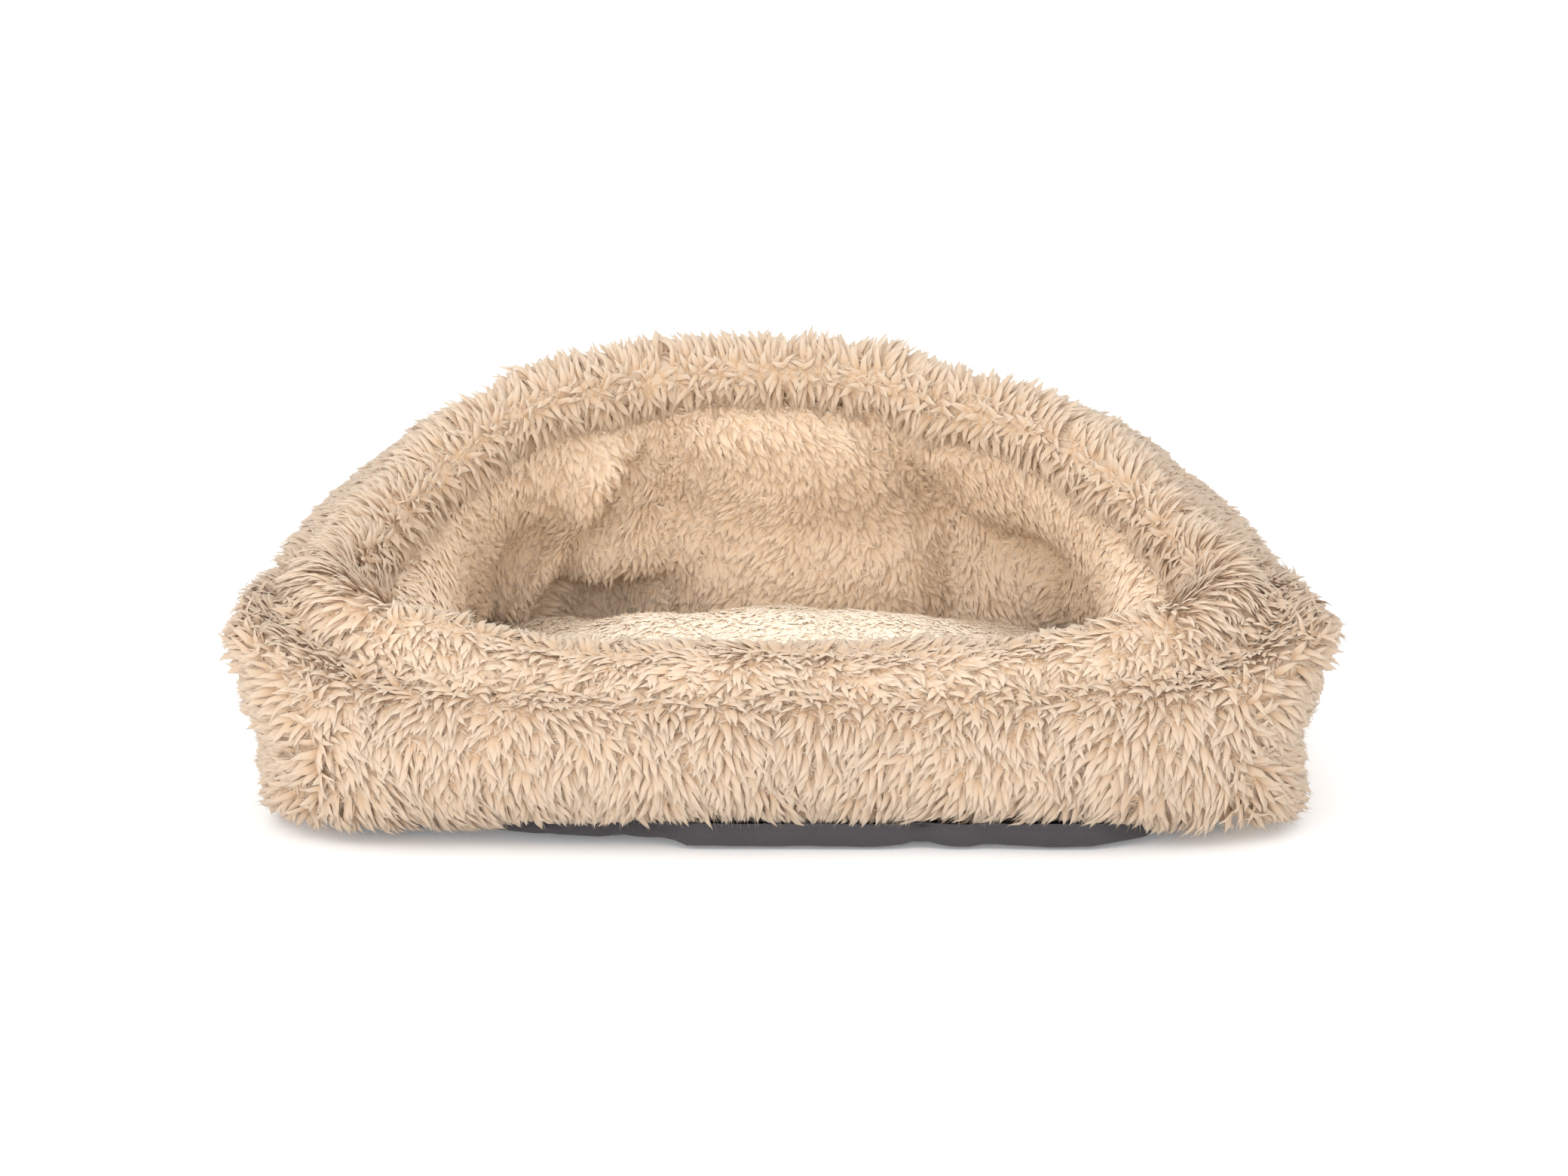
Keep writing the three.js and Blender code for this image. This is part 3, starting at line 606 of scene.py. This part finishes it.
def brushed(name, p, n):
    along = alongRoll(p)
    around = unit(np.cross(along, n))
    if name == "front_outer_cloth":
        lean = np.clip(-p[:, 0] / 0.08, -1, 1) * 0.42 + 0.3 * waves(p, 0.12, 21)
        return around + lean[:, None] * np.array([1.0, 0, 0])
    if name in ("right_outer_cloth", "left_outer_cloth"):
        return around * 0.4 + np.array([0, 1.0, 0]) + 0.35 * np.sign(p[:, :1]) * np.array([1.0, 0, 0])
    if name in ("right_lining_cloth", "left_lining_cloth", "back_lining_cloth"):
        fan = waves(p, 0.13, 22) * 0.55
        return -around + fan[:, None] * along
    if name == "front_inner_cloth":
        return -around
    if name == "roll_hood_cloth":
        side = np.where(ridgeSide(p, n) > 0, 1.0, -1.0)[:, None]
        return around * side + 0.25 * waves(p, 0.08, 23)[:, None] * along
    if name == "roll_front_cloth":
        side = np.where(p[:, 1] < -0.212, 1.0, -1.0)[:, None]
        return around * side + 0.9 * waves(p, 0.07, 24)[:, None] * along
    if name == "seat_cloth":
        return np.array([0, -1.0, 0]) + 0.7 * waves(p, 0.1, 25)[:, None] * np.array([1.0, 0, 0]) + 0 * p
    return around + 0.3 * waves(p, 0.1, 26)[:, None] * along


pile = {
    "front_outer_cloth": {"length": 0.0165, "mess": 0.34, "rise": 27},
    "front_inner_cloth": {"length": 0.013, "mess": 0.26, "rise": 26},
    "right_outer_cloth": {"length": 0.0172, "mess": 0.26, "rise": 31},
    "left_outer_cloth": {"length": 0.0172, "mess": 0.26, "rise": 31},
    "back_outer_cloth": {"length": 0.0172, "mess": 0.26, "rise": 31},
    "right_hood_cloth": {"length": 0.0145, "mess": 0.26, "rise": 34},
    "left_hood_cloth": {"length": 0.0145, "mess": 0.26, "rise": 34},
    "back_hood_cloth": {"length": 0.0145, "mess": 0.26, "rise": 34},
    "right_lining_cloth": {"length": 0.0125, "mess": 0.24, "rise": 26},
    "back_lining_cloth": {"length": 0.0125, "mess": 0.24, "rise": 26},
    "left_lining_cloth": {"length": 0.0125, "mess": 0.24, "rise": 26},
    "roll_front_cloth": {"length": 0.0135, "mess": 0.4, "rise": 28},
    "roll_hood_cloth": {"length": 0.0168, "mess": 0.3, "rise": 32},
    "seat_cloth": {"length": 0.0095, "mess": 0.35, "rise": 13},
}
lock = {"perSquareCm": 6.1, "width": 0.004, "flat": 0.24, "strands": 2, "strandWidth": 0.0008,
        "spread": 0.0026, "curl": 0.002, "partingRise": 30, "partingWidth": 0.008, "ridgeWidth": 0.22,
        "soft": 0.6, "calmRounds": 8, "droop": 30, "sunk": 0.0008, "strandSunk": 0.0005, "floorGap": 0.0045,
        "hem": 0.0072, "bareEdge": (-0.165, 0.2), "bareFade": 0.03, "shortest": 0.62}
undercoat = {"tufts": 3, "length": 0.0085, "width": 0.0036, "rise": 26, "spread": 0.0045, "sunk": 0.0007}


def strandRings(root, n, t, length, rise, curl, phase, stops):
    side = np.cross(n, t)
    rows, place = [root], root.copy()
    for a, b in zip(stops[:-1], stops[1:]):
        at = (a + b) / 2
        angle = np.radians(rise * (1 - at) ** 1.3 + 6)[:, None]
        place = place + (t * np.cos(angle) + n * np.sin(angle)) * (length * (b - a))[:, None]
        rows.append(place + side * (curl * (np.sin(phase + 4.5 * b) - np.sin(phase)) * b)[:, None])
    return rows, side


def prism(rows, side, n, widths, heights, u0, u1, stops, ground):
    count, rings = len(rows[0]), len(rows) - 1
    points, uv = [], []
    for i in range(rings):
        w, h = widths[i][:, None] / 2, heights[i][:, None]
        points += [rows[i] - side * w, rows[i] + n * h, rows[i] + side * w]
    points.append(rows[-1])
    points = np.stack(points, 1)                     # count, 3 * rings + 1, 3
    per = 3 * rings + 1
    quads, tris = [], [(0, 1, 2)]
    for i in range(rings - 1):
        for k in range(3):
            j = (k + 1) % 3
            quads.append((3 * i + k, 3 * i + 3 + k, 3 * i + 3 + j, 3 * i + j))
    last = 3 * (rings - 1)
    for k in range(3):
        tris.append((last + k, 3 * rings, last + (k + 1) % 3))
    base = (np.arange(count) * per)[:, None, None]
    quadIndex, triIndex = base + np.array(quads, int).reshape(-1, 4)[None], base + np.array(tris)[None]
    across = np.array([0.0, 0.5, 1.0] * rings + [0.5])
    height = np.array([stop for stop in stops[:-1] for _ in range(3)] + [stops[-1]])
    u = u0[:, None] + (u1 - u0)[:, None] * across[None]
    v = np.broadcast_to(0.03 + 0.94 * height[None], u.shape)
    uv = np.stack([u, v], 2).reshape(-1, 2)
    skyward = np.repeat(ground, per, axis=0)
    return points.reshape(-1, 3), quadIndex.reshape(-1, 4), triIndex.reshape(-1, 3), uv, skyward


def meshFrom(name, batches):
    points, uv, skyward, loops, starts, total, at = [], [], [], [], [], 0, 0
    for p, quads, tris, map2, ground in batches:
        for faces in (quads, tris):
            flat = (faces + total).ravel()
            loops.append(flat)
            starts.append(at + np.arange(len(faces)) * faces.shape[1])
            at += len(flat)
        points.append(p)
        uv.append(map2)
        skyward.append(ground)
        total += len(p)
    points, uv, skyward, loops, starts = (np.concatenate(x) for x in (points, uv, skyward, loops, starts))
    mesh = bpy.data.meshes.new(name)
    mesh.vertices.add(len(points))
    mesh.loops.add(len(loops))
    mesh.polygons.add(len(starts))
    mesh.vertices.foreach_set("co", points.astype(np.float32).ravel())
    mesh.loops.foreach_set("vertex_index", loops.astype(np.int32))
    mesh.polygons.foreach_set("loop_start", starts.astype(np.int32))
    mesh.polygons.foreach_set("use_smooth", np.ones(len(starts), bool))
    layer = mesh.uv_layers.new(name="OFBake")
    layer.data.foreach_set("uv", uv[loops].astype(np.float32).ravel())
    mesh.update(calc_edges=True)
    softened = unit(normalsOf(mesh) * (1 - lock["soft"]) + skyward * lock["soft"])  # shaded as the cloth is
    flat, sides = np.zeros(len(starts) * 3, np.float32), np.zeros(len(starts), np.int32)
    mesh.polygons.foreach_get("normal", flat)
    mesh.polygons.foreach_get("loop_total", sides)
    own, shaded = np.repeat(flat.reshape(-1, 3), sides, axis=0), softened[loops]
    turned = (own * shaded).sum(1) < 0.15            # but the undersides of locks keep their own
    shaded[turned] = own[turned]
    mesh.normals_split_custom_set(shaded)
    return mesh


def grow(name, mesh, faces, seed, toEdge):
    look, random = pile[name], np.random.default_rng(seed)
    mesh.calc_loop_triangles()
    triangles = np.zeros(len(mesh.loop_triangles) * 3, np.int32)
    owner = np.zeros(len(mesh.loop_triangles), np.int32)
    mesh.loop_triangles.foreach_get("vertices", triangles)
    mesh.loop_triangles.foreach_get("polygon_index", owner)
    triangles = triangles.reshape(-1, 3)[np.isin(owner, faces)]
    points, normals = pointsOf(mesh), normalsOf(mesh)
    a, b, c = (points[triangles[:, k]] for k in range(3))
    area = np.linalg.norm(np.cross(b - a, c - a), axis=1) / 2
    facing = unit(np.cross(b - a, c - a))
    wanted = area * 1e4 * lock["perSquareCm"]
    onSeat = name == "seat_cloth"
    low = a[:, 2]
    if onSeat:                                       # no pile where it lies on the cloths below
        wanted[(facing[:, 2] < -0.55) & (low < 0.05)] = 0
    else:
        wanted[(facing[:, 2] < -0.92) & (low < 0.03)] = 0
        wanted[(np.abs(a[:, 0]) < 0.215) & (np.abs(a[:, 1]) < 0.175) & (low < 0.036)] = 0
    count = np.floor(wanted + random.random(len(wanted))).astype(int)
    pick = np.repeat(np.arange(len(triangles)), count)
    r1, r2 = random.random((2, len(pick)))
    flip = r1 + r2 > 1
    r1[flip], r2[flip] = 1 - r1[flip], 1 - r2[flip]
    share = np.stack([1 - r1 - r2, r1, r2], 1)
    mixed = lambda v: (v[triangles[pick]] * share[:, :, None]).sum(1)
    root, n, ground = mixed(points), unit(mixed(normals)), unit(mixed(calmNormals(mesh, lock["calmRounds"])))
    g = brushed(name, root, n)
    t = unit(g - (g * n).sum(1)[:, None] * n)
    swirl = look["mess"] * (1.1 * waves(root, 0.045, seed + 1) + 0.7 * waves(root, 0.014, seed + 2))
    swirl += random.normal(0, 0.16, len(root))
    t = t * np.cos(swirl)[:, None] + np.cross(n, t) * np.sin(swirl)[:, None]
    length = look["length"] * random.uniform(0.78, 1.18, len(root)) * (1 + 0.14 * waves(root, 0.03, seed + 3))
    rise = look["rise"] * random.uniform(0.75, 1.2, len(root)) * (1 + 0.2 * waves(root, 0.02, seed + 4))
    # the pile stands up where it is parted, along the seams and the roll's ridge
    parting = np.exp(-(mixed(toEdge[:, None])[:, 0] / lock["partingWidth"]) ** 2)
    if name == "roll_hood_cloth":
        parting = np.maximum(parting, np.exp(-(ridgeSide(root, n) / lock["ridgeWidth"]) ** 2))
    rise += lock["partingRise"] * parting * random.uniform(0.5, 1.3, len(root))
    under = np.clip((-n[:, 2] - 0.2) / 0.4, 0, 1) * (root[:, 2] < 0.03)
    rise += lock["droop"] * under                    # round the hem it hangs straight down
    turn = parting * random.normal(0, 1.3, len(root))
    t = t * np.cos(turn)[:, None] + np.cross(n, t) * np.sin(turn)[:, None]
    length *= 1 - 0.25 * parting
    lowest = np.full(len(root), lock["floorGap"])
    if name == "front_outer_cloth":                  # the grey underside shows below the middle of the front
        low, high = lock["bareEdge"]
        bare = np.clip((root[:, 0] - low) / lock["bareFade"], 0, 1)
        bare *= np.clip((high - root[:, 0]) / lock["bareFade"], 0, 1)
        lowest += bare * (lock["hem"] + random.normal(0, 0.0012, len(root)))
    tipZ = root[:, 2] + length * (t[:, 2] * 0.86 + n[:, 2] * 0.4)
    over = tipZ < lowest
    room = (root[over, 2] - lowest[over]) / np.maximum(root[over, 2] - tipZ[over], 1e-6)
    length[over] *= np.clip(room, lock["shortest"], 1)
    curl = lock["curl"] * random.normal(0, 0.8, len(root))
    phase = random.uniform(0, 6.3, len(root))
    tone = random.uniform(0.01, 0.94, len(root))
    stops = [0.0, 0.3, 0.65, 1.0]
    rows, side = strandRings(root - n * lock["sunk"], n, t, length, rise, curl, phase, stops)
    width = lock["width"] * random.uniform(0.75, 1.25, len(root))
    widths = [width * k for k in (0.8, 1.0, 0.72)]
    heights = [width * k * lock["flat"] for k in (0.8, 1.0, 0.8)]
    batches = [prism(rows, side, n, widths, heights, tone, tone + 0.035, stops, ground)]
    thin, floorLine = [0.0, 1.0], [np.repeat(lowest, 10)]
    for tuft in range(undercoat["tufts"]):           # short tufts between the locks hide the skin
        turn = random.normal(0, 0.9, len(root))
        lean = t * np.cos(turn)[:, None] + side * np.sin(turn)[:, None]
        way = random.uniform(0, 2 * math.pi, len(root))
        away = undercoat["spread"] * np.sqrt(random.random(len(root)))
        offset = (t * np.cos(way)[:, None] + side * np.sin(way)[:, None]) * away[:, None]
        thick = undercoat["width"] * random.uniform(0.7, 1.3, len(root))
        size = undercoat["length"] * random.uniform(0.7, 1.2, len(root))
        steep = undercoat["rise"] * random.uniform(0.6, 1.4, len(root))
        place = root - n * undercoat["sunk"] + offset
        short, across = strandRings(place, n, lean, size, steep, curl * 0, phase, thin)
        shade = np.clip(tone + random.uniform(-0.02, 0.04, len(root)), 0.005, 0.96)
        batches.append(prism(short, across, n, [thick], [thick * 0.3], shade, shade + 0.02, thin, ground))
        floorLine.append(np.repeat(lowest, 4))
    for strand in range(lock["strands"]):
        way = random.uniform(0, 2 * math.pi, len(root))
        away = lock["spread"] * np.sqrt(random.random(len(root)))
        offset = (t * np.cos(way)[:, None] + side * np.sin(way)[:, None]) * away[:, None]
        size = length * random.uniform(0.8, 1.28, len(root))
        steep = rise * random.uniform(0.9, 1.35, len(root))
        bend = curl * random.uniform(0.5, 1.6, len(root))
        place = root - n * lock["strandSunk"] + offset
        fine, across = strandRings(place, n, t, size, steep, bend, phase, thin)
        fine[1] = fine[1] - offset * random.uniform(0.3, 0.9, len(root))[:, None]
        thick = lock["strandWidth"] * random.uniform(0.6, 1.3, len(root))
        shade = np.clip(tone + random.uniform(-0.02, 0.06, len(root)), 0.005, 0.985)
        batches.append(prism(fine, across, n, [thick], [thick * 0.6], shade, shade + 0.006, thin, ground))
        floorLine.append(np.repeat(lowest, 4))
    for batch, line in zip(batches, floorLine):      # tips below the hem or the floor spread along it
        height = batch[0][:, 2]
        below = np.minimum(height - line, 0)
        batch[0][:, 2] = np.maximum(height - 0.85 * below, 0.0003 + 0.02 * np.maximum(height, 0))
    return meshFrom(name + "Pile", batches), len(root)


def panelPiece(name, source, faces, toEdge, title, paint, seed):
    pieceMesh, locks = grow(name, source.data, faces, seed, toEdge)
    fur = bpy.data.objects.new(title, pieceMesh)
    bpy.context.scene.collection.objects.link(fur)
    skin = source.copy()
    skin.data = source.data.copy()
    bpy.context.scene.collection.objects.link(skin)
    keep = np.zeros(len(skin.data.polygons), bool)
    keep[faces] = True
    makeActive(skin)
    bpy.ops.object.mode_set(mode="EDIT")
    bpy.ops.mesh.select_mode(type="FACE")
    bpy.ops.mesh.select_all(action="DESELECT")
    bpy.ops.object.mode_set(mode="OBJECT")
    skin.data.polygons.foreach_set("select", ~keep)
    bpy.ops.object.mode_set(mode="EDIT")
    bpy.ops.mesh.delete(type="FACE")
    bpy.ops.object.mode_set(mode="OBJECT")
    applyModifier(skin, "DECIMATE", "thin", ratio=0.45)
    applyModifier(skin, "SOLIDIFY", "thickness", thickness=bodyShape["skinThickness"], offset=-1)
    layer = skin.data.uv_layers.new(name="OFBake")
    loops = np.zeros(len(skin.data.loops), np.int32)
    skin.data.loops.foreach_get("vertex_index", loops)
    spots = pointsOf(skin.data)[loops]
    u = 0.02 + 0.9 * ((spots[:, 0] * 1.7 + spots[:, 1] * 2.3) % 1.0)
    v = 0.42 + 0.1 * ((spots[:, 2] * 4) % 1.0)       # a middle tone of the pile
    uv = np.stack([u, v], 1)
    layer.data.foreach_set("uv", uv.astype(np.float32).ravel())
    deselect()
    skin.select_set(True)
    fur.select_set(True)
    bpy.context.view_layer.objects.active = fur
    bpy.ops.object.join()
    piece = bpy.context.object
    piece.data.name = title
    piece.data.materials.clear()
    piece.data.materials.append(paint)
    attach(piece, "root")
    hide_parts(name)
    return locks, sum(len(p.vertices) - 2 for p in piece.data.polygons)


lockCount, triangleCount = 0, 0
for index, name in enumerate(panelNodes):
    chosen = np.flatnonzero(bodyLabel == index)
    inside = "lining" in name or "inner" in name
    title = name.replace("_cloth", "_plush")
    # the inside and the roll take brightened copies of the cream pile, painted light against their shade
    paint = insideLitPaint if inside else rollLitPaint if "roll" in name else creamPaint
    made = panelPiece(name, body, chosen, toSeam, title, paint,
                      100 + 10 * index)
    lockCount, triangleCount = lockCount + made[0], triangleCount + made[1]
    print(title, "has", made[0], "locks and", made[1], "triangles")
seatFaces = np.array([i for i, p in enumerate(seat.data.polygons) if p.center.z > seatShape["rimHeight"]])
made = panelPiece("seat_cloth", seat, seatFaces, toTack, "seat_plush", palePaint, 900)
lockCount, triangleCount = lockCount + made[0], triangleCount + made[1]


def skinTree(mesh):
    return BVHTree.FromPolygons([v.co for v in mesh.vertices], [p.vertices for p in mesh.polygons])


bodyTree, seatTree = skinTree(body.data), skinTree(seat.data)
for used in (body, seat):
    bpy.data.objects.remove(used)
print("pile grown:", lockCount, "locks,", triangleCount, "triangles")

# fillings, a little inside the skins
filling = {"shrink": 0.012, "fluff": 0.0012, "fluffSize": 0.012, "under": 0.009, "foot": 0.0028}
for node in fillNodes + ["seat_filling"]:
    pad = copyOf([node], node.replace("_filling", "_fibre"))
    applyModifier(pad, "SUBSURF", "round", levels=1, render_levels=1)
    points = pointsOf(pad.data)
    inward = filling["shrink"] + filling["fluff"] * waves(points, filling["fluffSize"], 40)
    points = settled(points) - normalsOf(pad.data) * inward[:, None]
    tree = seatTree if node == "seat_filling" else bodyTree
    for index, point in enumerate(points):
        spot, outward = tree.find_nearest(Vector(point))[:2]
        if (spot - Vector(point)).dot(outward) < filling["under"]:
            points[index] = spot - outward * filling["under"]
    points[:, 2] = np.maximum(points[:, 2], filling["foot"])
    setPoints(pad.data, points)
    makeActive(pad)
    bpy.ops.object.shade_smooth()
    pad.data.materials.append(fillPaint)
    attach(pad, "root")
    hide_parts(node)
print("fillings made")

# the grey underside, quilted so that its front edge is scalloped
quilt = {"notches": ((-0.086, 1.0), (-0.058, 0.7), (0.072, 1.0), (-0.125, 0.45), (0.107, 0.45)),
         "width": 0.006, "rise": 0.0045, "bulge": 0.0125, "roundness": 0.005, "tall": 0.5, "flat": 0.8,
         "along": (-0.17, -0.13, -0.064, -0.05, 0.16, 0.195, 0.21), "frontFrom": 0.19, "frontOver": 0.032,
         "showing": (0.0, 0.45, 0.6, 0.95, 1.0, 0.5, 0.0), "drawnIn": 0.06}
base = copyOf(["base_cloth"], "base_weave")
applyModifier(base, "SUBSURF", "fine", subdivision_type="SIMPLE", levels=3, render_levels=3)
points, normals = pointsOf(base.data), normalsOf(base.data)
front = np.clip((-points[:, 1] - quilt["frontFrom"]) / quilt["frontOver"], 0, 1)
edge = front * np.interp(points[:, 0], quilt["along"], quilt["showing"])
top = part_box("base_cloth")[1].z
points[:, 2] *= np.where(normals[:, 2] < -0.2, 1 - quilt["flat"] * edge, 1 + quilt["tall"] * edge)
up = np.clip(points[:, 2] / top, 0, 1)
tuck = sum(depth * np.exp(-np.abs(points[:, 0] - x) / quilt["width"]) for x, depth in quilt["notches"])
tuck = np.clip(tuck, 0, 1)
points[:, 1] -= edge * (quilt["bulge"] * (1 - 0.45 * tuck) + quilt["roundness"] * np.sin(math.pi * up))
points[:, :2] *= 1 - quilt["drawnIn"] * (1 - edge[:, None])
points[:, 2] += quilt["rise"] * tuck * edge * (1 - up)
points[:, 2] = np.clip(points[:, 2] + 0.0003 * waves(points, 0.03, 50), 0.0, None)
setPoints(base.data, points)
makeActive(base)
bpy.ops.object.shade_smooth()
base.data.materials.append(greyPaint)
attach(base, "root")
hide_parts("base_cloth")
print("underside made")

# the tacks that pull the seat down: three turns of thread each
stitch = {"turns": 3, "thread": 0.00075, "long": 0.0042, "flat": 0.34, "pitch": 0.0011}
for number in (1, 2, 3, 4):
    low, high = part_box(f"seat_tack_{number}")
    spot = (low + high) / 2
    loops = []
    for turn in range(stitch["turns"]):
        deselect()
        place = spot + Vector((0, (turn - 1) * stitch["pitch"], 0))
        bpy.ops.mesh.primitive_torus_add(major_segments=28, minor_segments=8, major_radius=stitch["long"],
                                         minor_radius=stitch["thread"], location=place)
        loop = bpy.context.object
        loop.scale = (1, stitch["flat"], 0.8)
        loop.rotation_euler = (0.5 * (turn - 1), 0, 0.16 * (turn - 1))
        bpy.ops.object.transform_apply(location=True, rotation=True, scale=True)
        loops.append(loop)
    deselect()
    for loop in loops:
        loop.select_set(True)
    bpy.context.view_layer.objects.active = loops[0]
    bpy.ops.object.join()
    tack = bpy.context.object
    tack.name = f"tuft_stitch_{number}"
    bpy.ops.object.shade_smooth()
    tack.data.materials.append(tuftPaint)
    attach(tack, "root")
    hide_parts(f"seat_tack_{number}")
print("tacks made")
